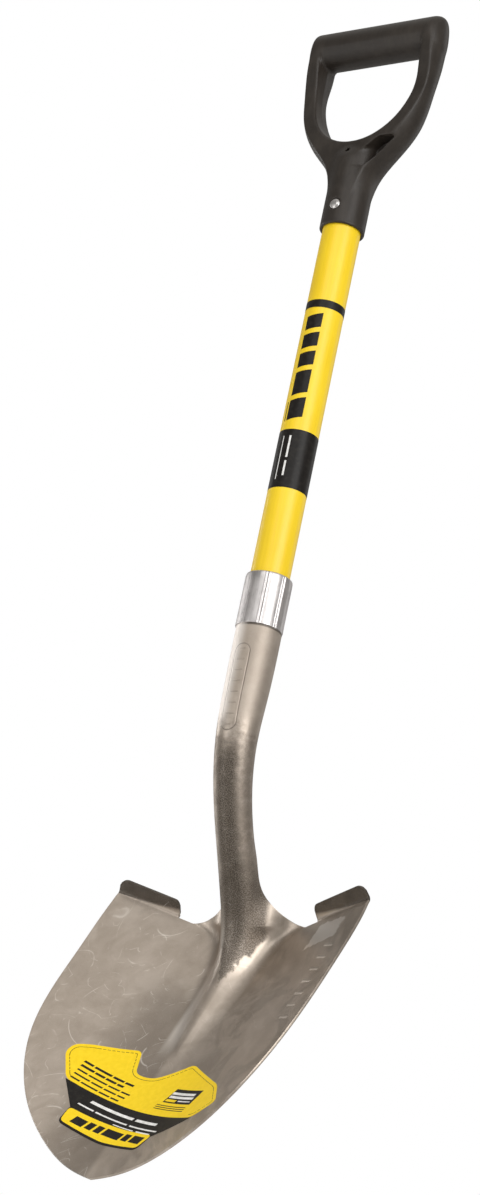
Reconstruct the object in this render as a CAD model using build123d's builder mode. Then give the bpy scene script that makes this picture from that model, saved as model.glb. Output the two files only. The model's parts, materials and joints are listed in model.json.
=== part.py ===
from build123d import *
import math
import os

# Round point shovel with a D-grip. Millimetres.
# Frame: +Z runs up the shaft from the blade to the grip, -Y is the front (the digging face), X is lateral.
# The origin is the hang point: the middle of the underside of the grip's crossbar.

# ---------------------------------------------------------------- driving dimensions
shaft_radius = 15.875
shaft_bore_radius = 12.7
shaft_top_z = -116.0
shaft_bottom_z = -572.0

bar_radius = 16.4
bar_end_rounding = 5.0
grip_half_width = 64.0
arm_half_depth = 10.5
arm_edge_rounding = 4.5
opening_half_width = 49.0
opening_arc_z = -38.0
opening_bottom_z = -84.4
grip_socket_radius = 18.8
grip_bottom_z = -163.8
yoke_bottom_z = -124.0
vent_radius = 2.0
vent_z = -93.9
vent_depth = 8.0
pocket_depth = 7.0

rivet_z = -146.1
rivet_radius = 2.6
rivet_head_radius = 4.2
rivet_head_height = 1.8
rivet_recess_radius = 5.0
rivet_recess_depth = 1.6
plug_length = 44.0

collar_top_z = -475.1
collar_length = 44.3
collar_rim_thickness = 1.2
collar_ridge_radius = 18.8
collar_flat_radius = 18.3
collar_flats = 12

sheet = 1.9
socket_outer_radius = shaft_radius + sheet
socket_straight_end_z = -575.0
seam_gap = 3.0
seam_bottom_z = -640.0
back_opens_z = -625.0
back_opening_run = 75.0
back_opening_depth = 40.0

core_wall = 2.4
core_length = 254.0

# Blade: local u runs up the blade from the point, h is the height towards the digging side.
point_y = -64.7
point_z = -968.8
blade_lean = 33.1
blade_half_width = 117.8
blade_length = 267.0
tread_depth = 13.5
tread_turn = 70.0
tread_corner = 6.0
tread_end_slant = 4.0
fold_overlap = 0.8

# Dish: across the blade the face is a hyperbola whose rounding and slope both grow towards the point.
dish_top_u = 265.0
rounding_at_top = 10.0
rounding_growth = 140.0
slope_at_top = 0.394
slope_growth = 0.52
slope_power = 1.35
cut_height = 110.0
cut_depth = 20.0

film = 0.12
band_z = (-402.1, -351.1)
ring_z = (-241.1, -234.1)

os.makedirs("parts", exist_ok=True)

# ---------------------------------------------------------------- blade geometry
lean = math.radians(blade_lean)
front_normal = Vector(0, -math.cos(lean), math.sin(lean))
blade_plane = Plane(origin=(0, point_y, point_z), x_dir=(1, 0, 0), z_dir=front_normal)


def dish_height(x, u):
    """Height of the dished digging face: a trough that tightens into a V towards the steps."""
    share = max(0.0, 1 - u / dish_top_u)
    rounding = rounding_at_top + rounding_growth * share
    slope = slope_at_top + slope_growth * share**slope_power
    return slope * (math.sqrt(x * x + rounding * rounding) - rounding)


def blade_point(x, u):
    return blade_plane.from_local_coords(Vector(x, u, dish_height(x, u)))


grid_x = [-126 + 12 * i for i in range(22)]
grid_u = [-12 + 14 * j for j in range(22)]
grid_points = [[blade_point(x, u) for u in grid_u] for x in grid_x]
digging_face = Face.make_surface_from_array_of_points(grid_points)
towards_back = -front_normal
if digging_face.normal_at(digging_face.center()).dot(towards_back) > 0:
    back_offset = sheet
else:
    back_offset = -sheet
plate = Solid.thicken(digging_face, back_offset)

# Ridge stations down the front of the neck and the frog: y, z, lean of the path from the vertical in
# degrees (+ is backwards), radius, depth of the straight legs behind the front arc.
ridge_stations = [
    (-17.775, -575.0, 0.0, 17.775, 0.4),
    (-16.4, -606.0, 6.0, 16.4, 0.4),
    (-9.8, -639.0, 17.0, 15.4, 1.0),
    (4.6, -675.0, 25.5, 14.7, 3.0),
    (23.3, -710.0, 28.0, 15.0, 9.0),
    (35.0, -733.0, 21.0, 15.6, 16.0),
    (42.6, -756.0, 6.0, 16.6, 30.0),
    (40.8, -782.0, -15.0, 16.6, 26.0),
    (27.0, -815.0, -24.0, 13.0, 22.0),
    (15.0, -842.0, -24.5, 9.0, 18.0),
    (6.6, -861.0, -26.0, 4.0, 14.0),
]


def ridge_plane(y, z, tilt):
    """Plane across the ridge: local x is lateral and local y points out of the front."""
    a = math.radians(tilt)
    return Plane(origin=(0, y, z), x_dir=(1, 0, 0), z_dir=(0, math.sin(a), -math.cos(a)))


def u_section(plane, radius, legs, inset, back_sag):
    """Arch with its crown on the ridge: half circle in front, straight legs, curved back."""
    with BuildSketch(plane) as section:
        with BuildLine():
            r = radius - inset
            crown = -radius
            Line((-r, crown - legs), (-r, crown))
            ThreePointArc((-r, crown), (0, crown + r), (r, crown))
            Line((r, crown), (r, crown - legs))
            ThreePointArc((r, crown - legs), (0, crown - legs - back_sag), (-r, crown - legs))
        make_face()
    return section.sketch


# ---------------------------------------------------------------- blade with socket, one stamped sheet
outer_sections = []
inner_sections = []
for y, z, tilt, radius, legs in ridge_stations:
    plane = ridge_plane(y, z, tilt)
    outer_sections.append(u_section(plane, radius, legs, 0, radius))
    inner_radius = radius - sheet
    opened = min(1.0, max(0.0, (back_opens_z - z) / back_opening_run))
    inner_legs = legs + back_opening_depth * opened
    inner_sections.append(u_section(plane, radius, inner_legs, sheet, inner_radius))

with BuildPart() as ridge_body:
    for section in outer_sections:
        add(section)
    loft()

with BuildPart() as ridge_hollow:
    for section in inner_sections:
        add(section)
    loft()

# Everything behind the middle of the plate's thickness, which the ridge must not reach into.
mid_face = digging_face.moved(Location(-front_normal * (sheet / 2)))
behind_plate = Solid.extrude(mid_face, -front_normal * cut_height)

fold_inner = Vector(64.8, 265.1)
fold_outer = Vector(116.2, blade_length)
notch = Vector(52.3, 263.2)

fold_start = blade_point(fold_inner.X, fold_inner.Y)
fold_end = blade_point(fold_outer.X, fold_outer.Y)
turn = math.radians(tread_turn)
flange_way = blade_plane.y_dir * math.cos(turn) + front_normal * math.sin(turn)
fold_way = (fold_end - fold_start).normalized()
fold_length = (fold_end - fold_start).length
tread_plane = Plane(origin=fold_start, x_dir=fold_way, z_dir=flange_way.cross(fold_way))

# Local y of the tread plane points back into the fold, so the flange lies in negative y.
with BuildPart() as treads:
    with BuildSketch(tread_plane):
        with BuildLine():
            inner_end = Line((0, fold_overlap), (tread_end_slant, -tread_depth))
            free_edge = Line(inner_end @ 1, (fold_length - tread_corner, -tread_depth))
            RadiusArc(free_edge @ 1, (fold_length, tread_corner - tread_depth), -tread_corner)
            Line((fold_length, tread_corner - tread_depth), (fold_length, fold_overlap))
            Line((fold_length, fold_overlap), (0, fold_overlap))
        make_face()
    extrude(amount=sheet)
    mirror(about=Plane.YZ)

with BuildPart() as blade:
    with BuildSketch(blade_plane.offset(-cut_depth)):
        with BuildLine():
            edge = Spline(
                (0, 0),
                (34, 11.6),
                (78.6, 48.4),
                (109.3, 108.9),
                (blade_half_width, 204),
                tangents=[(1, 0.24), (0, 1)],
            )
            side = Line(edge @ 1, (blade_half_width, 258))
            corner = Line(side @ 1, (fold_outer.X, fold_outer.Y + 1.0))
            step = Line(corner @ 1, (fold_inner.X, fold_inner.Y + 1.0))
            shoulder = Line(step @ 1, (notch.X, notch.Y))
            top = Line(shoulder @ 1, (0, notch.Y - 1.2))
            mirror(about=Plane.YZ)
        make_face()
    extrude(amount=cut_height)
    add(plate, mode=Mode.INTERSECT)

    # neck and frog, trimmed to the plate
    add(ridge_body.part - behind_plate)
    # straight socket above the neck
    with BuildSketch(Plane.XY.offset(socket_straight_end_z)):
        Circle(socket_outer_radius)
    extrude(amount=collar_top_z - collar_rim_thickness - socket_straight_end_z)

    # treads: the top edges turned towards the front
    add(treads.part)

    # hollow back, socket bore and the seam behind it
    add(ridge_hollow.part, mode=Mode.SUBTRACT)
    with BuildSketch(Plane.XY.offset(socket_straight_end_z)):
        Circle(shaft_radius)
    extrude(amount=collar_top_z - socket_straight_end_z, mode=Mode.SUBTRACT)
    with BuildSketch(Plane.XY.offset(seam_bottom_z)):
        with Locations((0, shaft_radius)):
            Rectangle(seam_gap, 2 * shaft_radius)
    extrude(amount=collar_top_z - seam_bottom_z, mode=Mode.SUBTRACT)
blade.part.label = "blade"
export_step(blade.part, "parts/blade.step")

# ---------------------------------------------------------------- collar crimped round the socket's mouth
with BuildPart() as collar:
    with BuildSketch(Plane.XY.offset(collar_top_z - collar_length)):
        Circle(collar_ridge_radius)
        RegularPolygon(collar_flat_radius, collar_flats, major_radius=False, mode=Mode.INTERSECT)
    extrude(amount=collar_length)
    with BuildSketch(Plane.XY.offset(collar_top_z - collar_length)):
        Circle(socket_outer_radius)
    extrude(amount=collar_length - collar_rim_thickness, mode=Mode.SUBTRACT)
    with BuildSketch(Plane.XY.offset(collar_top_z - collar_length)):
        Circle(shaft_radius)
    extrude(amount=collar_length, mode=Mode.SUBTRACT)
collar.part.label = "collar"
export_step(collar.part, "parts/collar.step")

# ---------------------------------------------------------------- shaft tube and what is inside it
cross_hole = Cylinder(rivet_radius, 4 * grip_socket_radius, rotation=(90, 0, 0), mode=Mode.PRIVATE)
cross_hole = cross_hole.moved(Location((0, 0, rivet_z)))

with BuildPart() as shaft_tube:
    with BuildSketch(Plane.XY.offset(shaft_bottom_z)):
        Circle(shaft_radius)
        Circle(shaft_bore_radius, mode=Mode.SUBTRACT)
    extrude(amount=shaft_top_z - shaft_bottom_z)
    add(cross_hole, mode=Mode.SUBTRACT)
shaft_tube.part.label = "shaft_tube"
export_step(shaft_tube.part, "parts/shaft_tube.step")

with BuildPart() as core_sleeve:
    with BuildSketch(Plane.XY.offset(shaft_bottom_z)):
        Circle(shaft_bore_radius)
        Circle(shaft_bore_radius - core_wall, mode=Mode.SUBTRACT)
    extrude(amount=core_length)
core_sleeve.part.label = "core_sleeve"
export_step(core_sleeve.part, "parts/core_sleeve.step")

with BuildPart() as top_plug:
    with BuildSketch(Plane.XY.offset(shaft_top_z - plug_length)):
        Circle(shaft_bore_radius)
    extrude(amount=plug_length)
    add(cross_hole, mode=Mode.SUBTRACT)
top_plug.part.label = "top_plug"
export_step(top_plug.part, "parts/top_plug.step")

# ---------------------------------------------------------------- D-grip moulding
opening_rise = opening_arc_z - opening_bottom_z

with BuildPart() as crossbar:
    with BuildSketch(Plane.YZ.offset(-grip_half_width)):
        with Locations((0, bar_radius)):
            Circle(bar_radius)
    extrude(amount=2 * grip_half_width)
    fillet(crossbar.edges().filter_by(GeomType.CIRCLE), bar_end_rounding)

with BuildPart() as d_grip:
    # fork: the D-shaped outline, seen from the front
    with BuildSketch(Plane.XZ):
        with BuildLine():
            flank = Spline(
                (grip_socket_radius, yoke_bottom_z),
                (34, -100),
                (51, -77),
                (60, -45),
                (grip_half_width, bar_radius),
                tangents=[(0.2, 1), (0, 1)],
            )
            Line(flank @ 1, (0, bar_radius))
            Line((0, yoke_bottom_z), flank @ 0)
            mirror(about=Plane.YZ)
        make_face()
    extrude(amount=arm_half_depth, both=True)
    # outer edges of the arms rounded over
    arm_edges = d_grip.edges().filter_by(GeomType.BSPLINE)
    fillet(arm_edges, arm_edge_rounding)
    # hand opening
    with BuildSketch(Plane.XZ):
        with Locations((0, opening_arc_z)):
            Ellipse(opening_half_width, opening_rise)
        with Locations((0, opening_arc_z + opening_rise)):
            Rectangle(2 * opening_half_width, 2 * opening_rise)
    extrude(amount=2 * arm_half_depth, both=True, mode=Mode.SUBTRACT)
    # cored pockets beside the socket, front and back
    for face_y in (-arm_half_depth, arm_half_depth):
        with BuildSketch(Plane.XZ.offset(-face_y)):
            Polygon((20, -112), (33, -97), (20, -91), align=None)
            mirror(about=Plane.YZ)
        extrude(amount=math.copysign(pocket_depth, face_y), mode=Mode.SUBTRACT)
    add(crossbar.part)
    # socket that takes the shaft, with a rounded crown under the opening
    with BuildSketch(Plane.XY.offset(grip_bottom_z)):
        Circle(grip_socket_radius)
    extrude(amount=opening_bottom_z - grip_bottom_z - 6)
    with BuildSketch(Plane.XY.offset(grip_bottom_z)):
        Circle(shaft_radius)
    extrude(amount=shaft_top_z - grip_bottom_z, mode=Mode.SUBTRACT)
    # vent hole and rivet hole with its counterbores
    with BuildSketch(Plane.XZ.offset(grip_socket_radius)):
        with Locations((0, vent_z)):
            Circle(vent_radius)
    extrude(amount=-vent_depth, mode=Mode.SUBTRACT)
    add(cross_hole, mode=Mode.SUBTRACT)
    for side in (1, -1):
        with BuildSketch(Plane.XZ.offset(side * (grip_socket_radius - rivet_recess_depth))):
            with Locations((0, rivet_z)):
                Circle(rivet_recess_radius)
        extrude(amount=side * 2 * rivet_recess_depth, mode=Mode.SUBTRACT)
d_grip.part.label = "d_grip"
export_step(d_grip.part, "parts/d_grip.step")

# ---------------------------------------------------------------- rivet through grip, shaft and plug
rivet_seat = grip_socket_radius - rivet_recess_depth
with BuildPart() as grip_rivet:
    with BuildSketch(Plane.XZ.offset(-rivet_seat)):
        with Locations((0, rivet_z)):
            Circle(rivet_radius)
    extrude(amount=2 * rivet_seat)
    for side in (1, -1):
        with BuildSketch(Plane.XZ.offset(side * rivet_seat)):
            with Locations((0, rivet_z)):
                Circle(rivet_head_radius)
        extrude(amount=side * rivet_head_height)
grip_rivet.part.label = "grip_rivet"
export_step(grip_rivet.part, "parts/grip_rivet.step")

# ---------------------------------------------------------------- printed films
with BuildPart() as shaft_film:
    for low, high in (band_z, ring_z):
        with BuildSketch(Plane.XY.offset(low)):
            Circle(shaft_radius + film)
            Circle(shaft_radius, mode=Mode.SUBTRACT)
        extrude(amount=high - low)
shaft_film.part.label = "shaft_film"
export_step(shaft_film.part, "parts/shaft_film.step")

film_body = Solid.thicken(digging_face, -math.copysign(film, back_offset))
with BuildPart() as blade_film:
    with BuildSketch(blade_plane.offset(-cut_depth)):
        Polygon(
            (-79, 105),
            (-76, 116),
            (-35, 126),
            (-16, 106),
            (14, 108),
            (24, 119),
            (63, 90),
            (77, 68),
            (24, 31),
            (-52, 46),
            align=None,
        )
    extrude(amount=cut_height)
    add(film_body, mode=Mode.INTERSECT)
blade_film.part.label = "blade_film"
export_step(blade_film.part, "parts/blade_film.step")
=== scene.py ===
import json
import math

import bmesh
import bpy
import numpy as np
from mathutils import Matrix, Vector

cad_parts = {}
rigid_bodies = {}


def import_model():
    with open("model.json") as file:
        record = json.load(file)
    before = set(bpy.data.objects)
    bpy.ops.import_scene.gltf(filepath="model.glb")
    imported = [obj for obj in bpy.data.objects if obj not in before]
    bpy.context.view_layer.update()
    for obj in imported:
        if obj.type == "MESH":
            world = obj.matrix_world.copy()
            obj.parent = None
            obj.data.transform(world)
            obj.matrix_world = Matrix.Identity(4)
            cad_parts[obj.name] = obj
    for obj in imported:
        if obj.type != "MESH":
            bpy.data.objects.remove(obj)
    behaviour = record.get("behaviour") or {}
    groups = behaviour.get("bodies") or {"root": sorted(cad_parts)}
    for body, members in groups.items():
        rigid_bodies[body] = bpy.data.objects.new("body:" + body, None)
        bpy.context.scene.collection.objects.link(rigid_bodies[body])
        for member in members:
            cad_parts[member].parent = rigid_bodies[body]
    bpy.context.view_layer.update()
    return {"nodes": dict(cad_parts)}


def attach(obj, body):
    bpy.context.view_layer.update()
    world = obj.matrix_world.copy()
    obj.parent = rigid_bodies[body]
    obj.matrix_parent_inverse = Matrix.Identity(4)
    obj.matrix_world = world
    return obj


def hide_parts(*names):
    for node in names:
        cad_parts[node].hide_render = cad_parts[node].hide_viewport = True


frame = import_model()

MM = 0.001

# Row frame: +Z up the shaft, -Y the front, origin under the crossbar. Shapes are worked out in millimetres.
SHAFT_R = 15.875
SOCKET_R = 17.775
SHEET = 1.9
BLADE_LEAN = math.radians(33.1)
POINT = np.array([0.0, -64.7, -968.8])
UP_BLADE = np.array([0.0, math.sin(BLADE_LEAN), math.cos(BLADE_LEAN)])
OUT_FRONT = np.array([0.0, -math.cos(BLADE_LEAN), math.sin(BLADE_LEAN)])
ACROSS = np.array([1.0, 0, 0])
BLADE_LENGTH = 267.1
POINT_RISE = 846.9  # brings the height up the blade to zero at the point


# ---- helpers
def curve_through(xs, ys):
    """Natural cubic spline through (xs, ys); xs rise. Returns a function of x."""
    xs, ys = np.asarray(xs, float), np.asarray(ys, float)
    n = len(xs)
    h = np.diff(xs)
    system = np.eye(n)
    right = np.zeros(n)
    for i in range(1, n - 1):
        system[i, i - 1 : i + 2] = h[i - 1], 2 * (h[i - 1] + h[i]), h[i]
        right[i] = 6 * ((ys[i + 1] - ys[i]) / h[i] - (ys[i] - ys[i - 1]) / h[i - 1])
    bend = np.linalg.solve(system, right)

    def value(x):
        x = np.asarray(x, float)
        i = np.clip(np.searchsorted(xs, x) - 1, 0, n - 2)
        a, b = xs[i + 1] - x, x - xs[i]
        return (
            (bend[i] * a**3 + bend[i + 1] * b**3) / (6 * h[i])
            + (ys[i] / h[i] - bend[i] * h[i] / 6) * a
            + (ys[i + 1] / h[i] - bend[i + 1] * h[i] / 6) * b
        )

    return value


def lengths_along(points):
    """Distance from the first point to each point, from point to point."""
    return np.concatenate([[0], np.cumsum(np.linalg.norm(np.diff(points, axis=0), axis=1))])


def path_through(points):
    """Spline through points in the plane, by chord length. Returns (function of length, total length)."""
    points = np.asarray(points, float)
    lengths = lengths_along(points)
    first, second = curve_through(lengths, points[:, 0]), curve_through(lengths, points[:, 1])
    return lambda s: np.stack([first(s), second(s)], axis=-1), lengths[-1]


def ease(x, low, high):
    """0 below low, 1 above high, smooth between."""
    t = np.clip((np.asarray(x, float) - low) / (high - low), 0, 1)
    return t * t * (3 - 2 * t)


def add_mesh(name, verts, faces, material, smooth=True):
    mesh = bpy.data.meshes.new(name)
    mesh.from_pydata([tuple(v) for v in np.asarray(verts, float) * MM], [], faces)
    mesh.validate()
    if smooth:
        mesh.polygons.foreach_set("use_smooth", [True] * len(mesh.polygons))
    obj = bpy.data.objects.new(name, mesh)
    bpy.context.scene.collection.objects.link(obj)
    mesh.materials.append(material)
    return obj


# ---- blade: digging face
def dish_height(x, u):
    """Height of the dished face above the trough line: a trough that tightens into a V towards the treads."""
    share = np.clip(1 - np.asarray(u, float) / 265, 0, None)
    rounding = 10 + 140 * share
    slope = 0.394 + 0.52 * share**1.35
    return slope * (np.sqrt(np.asarray(x, float) ** 2 + rounding**2) - rounding)


def on_blade(x, u, h):
    x, u, h = np.broadcast_arrays(x, u, h)
    return POINT + x[..., None] * ACROSS + u[..., None] * UP_BLADE + h[..., None] * OUT_FRONT


OUTLINE, OUTLINE_LENGTH = path_through(
    [(0, 0), (26.4, 8.3), (57.4, 27.7), (78.6, 48.4), (97, 76.6), (109.3, 108.9), (115.8, 148), (117.8, 204),
     (117.8, 250), (116.6, 267.1)]
)

# The front line of socket, neck and frog, as (y, z), from the socket's mouth down to the frog's point.
RIDGE_POINTS = [
    (-17.775, -476.4), (-17.775, -530.0), (-17.7, -570.0), (-16.5, -606.0), (-9.8, -639.0),
    (4.6, -675.0), (23.3, -710.0), (35.0, -733.0), (42.6, -756.0), (40.8, -782.0), (27.0, -815.0),
    (14.6, -842.0), (5.2, -861.5),
]
RIDGE, RIDGE_LENGTH = path_through(RIDGE_POINTS)
NOTCH_X, NOTCH_U = 52.3, 263.2
NECK_HALF_GIRTH = 27.5  # along the sheet, just above the notch
SWEEP_HEIGHT = 34.0  # over which the frog's edge sweeps out to the notch
TIP_HALF = 7.0
ROW_STEP = 2.2
INNER_COLUMNS = 44
WING_COLUMNS = 56


def ridge_lean(s):
    """Lean of the ridge from the vertical, positive backwards, in radians."""
    d = RIDGE(s + 0.5) - RIDGE(s - 0.5)
    return np.arctan2(d[..., 0], -d[..., 1])


def crown_radius(z):
    return curve_through([-980, -861, -815, -756, -733, -700, -660, -606, -570, -470],
                         [5, 6.0, 10.5, 14.5, 15.6, 14.9, 14.9, 16.6, SOCKET_R, SOCKET_R])(z)


def arch(radius, angle, leg, flare, p):
    """Point (x, n) at length p along half a section: crown arc, straight leg, then a flare bending out."""
    crown = radius * angle
    x = np.where(p < crown, radius * np.sin(p / radius), radius * np.sin(angle))
    n = np.where(p < crown, radius * (1 - np.cos(p / radius)), radius * (1 - np.cos(angle)))
    on_leg = np.clip(p - crown, 0, leg)
    x = x + on_leg * np.cos(angle)
    n = n + on_leg * np.sin(angle)
    turned = np.clip(p - crown - leg, 0, None) / flare
    x = x + flare * (np.sin(angle) - np.sin(angle - turned))
    n = n + flare * (np.cos(angle - turned) - np.cos(angle))
    return x, n


def fitted_arch(z, u, h, tilt, half_width):
    """Section whose flare lands on the dished face at x = half_width, tangent to it."""
    cos_t, sin_t = math.cos(tilt), math.sin(tilt)

    def landing(x, drop):
        """How far below the ridge the section's plane meets the dished face at x."""
        for _ in range(60):
            gap = (h - drop * cos_t) - float(dish_height(x, u + drop * sin_t))
            drop += 0.7 * gap / max(cos_t, 0.3)
        return drop

    drop, step = landing(half_width, 0.0), 0.5
    wing = math.atan2(drop - landing(half_width + step, drop), step)
    radius = float(crown_radius(z))
    flare = radius
    for _ in range(40):
        across = half_width - flare * math.sin(wing)
        down = max(drop + flare * (1 - math.cos(wing)), 1e-4)
        room = (across**2 + down**2) / (2 * down)
        total = min(0.93 * room, 60.0)
        if total < radius + 2.0:
            radius = 0.5 * total
        flare = 0.5 * flare + 0.5 * min(total - radius, 30.0)
    total = radius + flare
    across = half_width - flare * math.sin(wing)
    down = max(drop + flare * (1 - math.cos(wing)), 1e-4)
    angle = math.atan2(down - total, across) + math.asin(min(1.0, total / math.hypot(across, down - total)))
    leg = max(0.0, across * math.cos(angle) + down * math.sin(angle) - total * math.sin(angle))
    length = radius * angle + leg + flare * (angle + wing)
    return radius, angle, leg, flare, length, drop


def backwards(lean):
    return np.array([0.0, math.cos(lean), math.sin(lean)])


def ridge_row(s, half_width):
    """Ridge point, its blade coordinates and plane tilt, with the section fitted to half_width."""
    y, z = RIDGE(s)
    lean = float(ridge_lean(s))
    at = np.array([0.0, y, z])
    u, h = (at - POINT) @ UP_BLADE, (at - POINT) @ OUT_FRONT
    return at, backwards(lean), fitted_arch(z, u, max(h, 0.02), lean + BLADE_LEAN, half_width)


def notch_station():
    """Ridge length whose section lands on the notch."""
    low, high = RIDGE_LENGTH - 150, RIDGE_LENGTH - 100
    for _ in range(30):
        s = (low + high) / 2
        at, back, arch_values = ridge_row(s, NOTCH_X)
        landing = at + arch_values[5] * back
        if (landing - POINT) @ UP_BLADE > NOTCH_U:
            low = s
        else:
            high = s
    return s


def half_blade():
    """Front face of the right half: rows of points with their flat (across, along) coordinates."""
    s_notch = notch_station()
    at, back, (radius, angle, leg, flare, length, _) = ridge_row(s_notch, NOTCH_X)
    share = np.linspace(0, 1, INNER_COLUMNS + 1)
    rows, flats = [], []
    neck_count = int(round(s_notch / ROW_STEP))
    close_rows = s_notch - np.array([1.6, 1.15, 0.8, 0.5, 0.28, 0.13, 0.04])
    for s in np.concatenate([np.linspace(0, s_notch, neck_count + 1)[:-1], close_rows]):
        y, z = RIDGE(s)
        lean = float(ridge_lean(s))
        above = s_notch - s
        opened = float(ease(above, 0, 42))
        r = float(crown_radius(z)) * opened + radius * (1 - opened)
        a = angle * (1 - opened) + math.radians(96) * opened + math.radians(84) * float(ease(above, 42, 95))
        lg = leg * (1 - opened) + 6.0 * opened
        full = math.pi * r - 0.8
        curl = float(ease(above, 42, 150))
        narrow = min(NECK_HALF_GIRTH + 0.05 * above, full)
        shoulder = min(1.0, above / SWEEP_HEIGHT)
        sweep_out = (length - NECK_HALF_GIRTH) * (1 - math.sqrt(1 - (1 - shoulder) ** 2))
        reach = narrow * (1 - curl) + full * curl + sweep_out
        p = share * reach
        x, n = arch(r, a, lg, flare, p)
        rows.append(np.array([0.0, y, z]) + x[:, None] * ACROSS + n[:, None] * backwards(lean))
        flats.append(np.stack([p, np.full_like(p, s)], axis=1))
    width_at = curve_through([s_notch + below for below in (0, 6, 14, 24, 42, 64, 90)] + [RIDGE_LENGTH],
                             [NOTCH_X, 40, 33, 29, 26, 22, 17.5, TIP_HALF])
    ridge_rows = int(round((RIDGE_LENGTH - s_notch) / ROW_STEP))
    wing = np.linspace(0, 1, WING_COLUMNS + 1)[1:]
    for s in np.linspace(s_notch, RIDGE_LENGTH, ridge_rows + 1):
        at, back, (r, a, lg, fl, total, _) = ridge_row(s, float(width_at(s)))
        x, n = arch(r, a, lg, fl, share * total)
        inner = at + x[:, None] * ACROSS + n[:, None] * back
        rows.append(joined_row(inner, wing))
        flats.append(flat_row(rows[-1], s))
    last_u = (rows[-1][0] - POINT) @ UP_BLADE
    trough_rows = int(round(last_u / ROW_STEP))
    for i in range(1, trough_rows + 1):
        u = last_u * (1 - i / trough_rows)
        x = share * TIP_HALF * (u / last_u)
        rows.append(joined_row(on_blade(x, u, dish_height(x, u)), wing))
        flats.append(flat_row(rows[-1], RIDGE_LENGTH + last_u - u))
    return rows, flats, neck_count + len(close_rows)


def joined_row(inner, wing):
    """Adds the wing, from the end of the inner points out to the blade's edge."""
    end = inner[-1] - POINT
    x0, u0 = end[0], end @ UP_BLADE
    x1, u1 = OUTLINE(OUTLINE_LENGTH * min(u0, NOTCH_U) / NOTCH_U)
    x = x0 + (x1 - x0) * wing
    u = u0 + (u1 - u0) * wing
    return np.concatenate([inner, on_blade(x, u, dish_height(x, u))])


def flat_row(row, s):
    """Flat coordinates: across by length along the row, along by the station."""
    return np.stack([lengths_along(row), np.full(len(row), s)], axis=1)


TREAD_INNER_X, TREAD_OUTER_X = 64.8, 116.7
TREAD_LENGTH = 13.5
TREAD_TURN = math.radians(70)
TREAD_BEND = 2.6


def tread_reach(x):
    """How far the tread stands out at x: slanted rounded inner end, round outer corner."""
    inner = np.clip((x - TREAD_INNER_X) / 5.5, 0, 1)
    rise = np.sqrt(np.clip(1 - (1 - inner) ** 2, 0, 1)) ** 0.8
    outer = np.clip((x - (TREAD_OUTER_X - 7)) / 7, 0, 1)
    return TREAD_LENGTH * rise - 7 * (1 - np.sqrt(np.clip(1 - outer**2, 0, 1)))


def tread_rows(top_row):
    """Rows that turn the top edge forwards, for the columns beyond the notch."""
    start = on_blade(np.array(TREAD_INNER_X), np.array(265.1), dish_height(TREAD_INNER_X, 265.1))
    end = on_blade(np.array(116.2), np.array(BLADE_LENGTH), dish_height(116.2, BLADE_LENGTH))
    along = (end - start) / np.linalg.norm(end - start)
    up = UP_BLADE - (UP_BLADE @ along) * along
    up /= np.linalg.norm(up)
    out = np.cross(up, along)
    if out @ OUT_FRONT < 0:
        out = -out
    reach = tread_reach(top_row[:, 0])
    rows = []
    bend_length = TREAD_BEND * TREAD_TURN
    for share in np.linspace(0, 1, 15)[1:]:
        run = reach * share
        bent = np.clip(run, 0, bend_length) / TREAD_BEND
        straight = np.clip(run - bend_length, 0, None)
        step_up = TREAD_BEND * np.sin(bent) + straight * np.cos(bent)
        step_out = TREAD_BEND * (1 - np.cos(bent)) + straight * np.sin(bent)
        rows.append(top_row + step_up[:, None] * up + step_out[:, None] * out)
    return rows


def blade_front():
    """Whole front face of the sheet as vertices, quads and flat coordinates."""
    rows, flats, neck_count = half_blade()
    verts, flat, faces, index = [], [], [], []
    for row, coordinates in zip(rows, flats):
        index.append(range(len(verts), len(verts) + len(row)))
        verts.extend(row)
        flat.extend(coordinates)
    for j in range(len(rows) - 1):
        for i in range(min(len(index[j]), len(index[j + 1])) - 1):
            faces.append((index[j][i], index[j][i + 1], index[j + 1][i + 1], index[j + 1][i]))
    top = rows[neck_count]
    first = next(i for i in range(len(top)) if top[i, 0] >= TREAD_INNER_X)
    before = list(index[neck_count])[first:]
    for number, row in enumerate(tread_rows(top[first:])):
        here = list(range(len(verts), len(verts) + len(row)))
        verts.extend(row)
        flat.extend(flats[neck_count][first:] - np.array([0, 1.0 * (number + 1)]))
        for i in range(len(row) - 1):
            faces.append((here[i], here[i + 1], before[i + 1], before[i]))
        before = here
    return np.array(verts), faces, np.array(flat)


def mirrored(verts, faces, flat):
    """Adds the left half."""
    count = len(verts)
    other = verts * np.array([-1.0, 1, 1])
    faces = faces + [tuple(count + i for i in reversed(face)) for face in faces]
    return np.concatenate([verts, other]), faces, np.concatenate([flat, flat * np.array([-1.0, 1])])


def welded(obj, distance):
    bm = bmesh.new()
    bm.from_mesh(obj.data)
    bmesh.ops.remove_doubles(bm, verts=bm.verts, dist=distance)
    bmesh.ops.dissolve_degenerate(bm, edges=bm.edges, dist=distance / 10)
    bm.to_mesh(obj.data)
    bm.free()


def face_front(obj):
    """Turns the normals so that, on the whole, they point out of the digging side."""
    way = sum((p.normal * p.area for p in obj.data.polygons), Vector())
    if way.dot(Vector(OUT_FRONT)) < 0:
        obj.data.flip_normals()


def apply_modifiers(obj):
    graph = bpy.context.evaluated_depsgraph_get()
    mesh = bpy.data.meshes.new_from_object(obj.evaluated_get(graph))
    obj.modifiers.clear()
    obj.data = mesh


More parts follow.
